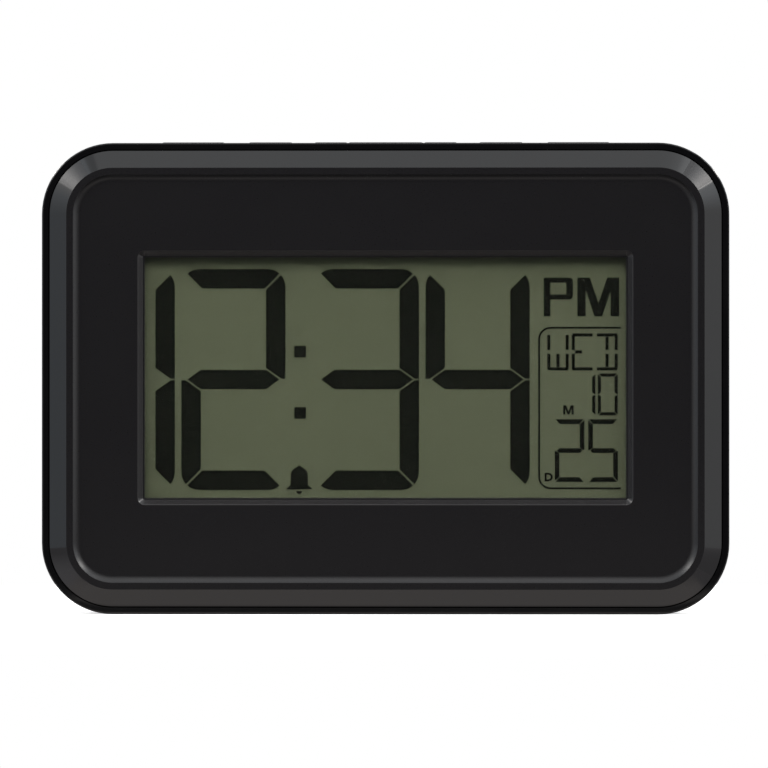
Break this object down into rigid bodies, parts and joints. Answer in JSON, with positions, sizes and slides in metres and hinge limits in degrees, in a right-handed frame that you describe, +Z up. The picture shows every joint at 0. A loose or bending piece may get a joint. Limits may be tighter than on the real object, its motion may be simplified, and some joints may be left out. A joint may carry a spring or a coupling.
{
  "type": "digital clock",
  "caption": "Digital desk and wall clock with a large reflective display, top push buttons, battery bay with hinged cover, and fold-out stand.",
  "frame": {"origin": "centre of the clock's box on the surface it stands on", "axes": "+X to the right seen from the front, +Y from front to back, +Z up"},
  "size_m": [0.234, 0.03, 0.1611],
  "materials": {
    "bezel_plastic": "satin panel inside a polished sloping ring",
    "case_plastic": "smooth black, lightly glossy",
    "clear_lens": "clear, polished",
    "adhesive_foam": "dull black foam tape",
    "polariser_film": "thin neutral film",
    "display_glass": "clear thin glass",
    "segment_dark": "dark, even",
    "reflector_foil": "fine-grained grey-green foil",
    "holder_plastic": "moulded off-white",
    "screw_steel": "zinc-plated",
    "zebra_rubber": "striped silicone",
    "board_laminate": "green solder mask",
    "chip_resin": "smooth black resin",
    "crystal_can": "drawn metal can",
    "capacitor_sleeve": "shrunk sleeve",
    "resistor_ceramic": "fired ceramic",
    "switch_plastic": "moulded",
    "button_plastic": "fine satin",
    "plunger_plastic": "moulded",
    "ribbon_plastic": "ribbed sheath",
    "buzzer_brass": "rolled brass",
    "lead_insulation": "extruded sheath",
    "cell_wrap": "printed metal-toned wrap, plain",
    "contact_nickel": "nickel-plated spring steel"
  },
  "bodies": {
    "clock": {"front_bezel": "bezel_plastic", "rear_case": "case_plastic", "window_lens": "clear_lens", "lens_gasket": "adhesive_foam", "lcd_front_polariser": "polariser_film", "lcd_front_glass": "display_glass", "lcd_segments": "segment_dark", "lcd_rear_glass": "display_glass", "lcd_reflector": "reflector_foil", "lcd_holder": "holder_plastic", "lcd_holder_screws": "screw_steel", "zebra_strip": "zebra_rubber", "main_board": "board_laminate", "clock_chip": "chip_resin", "quartz_crystal": "crystal_can", "capacitors": "capacitor_sleeve", "resistors": "resistor_ceramic", "main_board_screws": "screw_steel", "key_board": "board_laminate", "key_switches": "switch_plastic", "ribbon_cable": "ribbon_plastic", "buzzer_disc": "buzzer_brass", "buzzer_ceramic": "resistor_ceramic", "buzzer_leads": "lead_insulation", "battery_upper": "cell_wrap", "battery_lower": "cell_wrap", "battery_spring_contact": "contact_nickel", "battery_plate_contact": "contact_nickel", "battery_bridge_contact": "contact_nickel", "battery_leads": "lead_insulation", "case_screws": "screw_steel"},
    "alarm_key": {"alarm_button": "button_plastic", "alarm_plunger": "plunger_plastic"},
    "time_key": {"time_button": "button_plastic", "time_plunger": "plunger_plastic"},
    "down_key": {"down_button": "button_plastic", "down_plunger": "plunger_plastic"},
    "snooze_key": {"snooze_button": "button_plastic", "snooze_plunger": "plunger_plastic"},
    "up_key": {"up_button": "button_plastic", "up_plunger": "plunger_plastic"},
    "mode_key": {"mode_button": "button_plastic", "mode_plunger": "plunger_plastic"},
    "date_key": {"date_button": "button_plastic", "date_plunger": "plunger_plastic"},
    "battery_door": {"battery_cover": "case_plastic"},
    "stand": {"fold_out_stand": "case_plastic"}
  },
  "joints": [
    {"name": "alarm_press", "type": "slide", "parent": "clock", "child": "alarm_key", "axis": [0, 0, -1], "range_m": [0, 0.0006], "stiffness_N_per_m": 1500, "springref_m": -0.0008},
    {"name": "time_press", "type": "slide", "parent": "clock", "child": "time_key", "axis": [0, 0, -1], "range_m": [0, 0.0006], "stiffness_N_per_m": 1500, "springref_m": -0.0008},
    {"name": "down_press", "type": "slide", "parent": "clock", "child": "down_key", "axis": [0, 0, -1], "range_m": [0, 0.0006], "stiffness_N_per_m": 1500, "springref_m": -0.0008},
    {"name": "snooze_press", "type": "slide", "parent": "clock", "child": "snooze_key", "axis": [0, 0, -1], "range_m": [0, 0.0006], "stiffness_N_per_m": 1500, "springref_m": -0.0008},
    {"name": "up_press", "type": "slide", "parent": "clock", "child": "up_key", "axis": [0, 0, -1], "range_m": [0, 0.0006], "stiffness_N_per_m": 1500, "springref_m": -0.0008},
    {"name": "mode_press", "type": "slide", "parent": "clock", "child": "mode_key", "axis": [0, 0, -1], "range_m": [0, 0.0006], "stiffness_N_per_m": 1500, "springref_m": -0.0008},
    {"name": "date_press", "type": "slide", "parent": "clock", "child": "date_key", "axis": [0, 0, -1], "range_m": [0, 0.0006], "stiffness_N_per_m": 1500, "springref_m": -0.0008},
    {"name": "battery_cover_hinge", "type": "hinge", "parent": "clock", "child": "battery_door", "pos_m": [0.066, 0.0134, 0.0286], "axis": [-1, 0, 0], "range_deg": [0, 80]},
    {"name": "stand_hinge", "type": "hinge", "parent": "clock", "child": "stand", "pos_m": [0, 0.0134, 0.09], "axis": [1, 0, 0], "range_deg": [0, 25]}
  ]
}
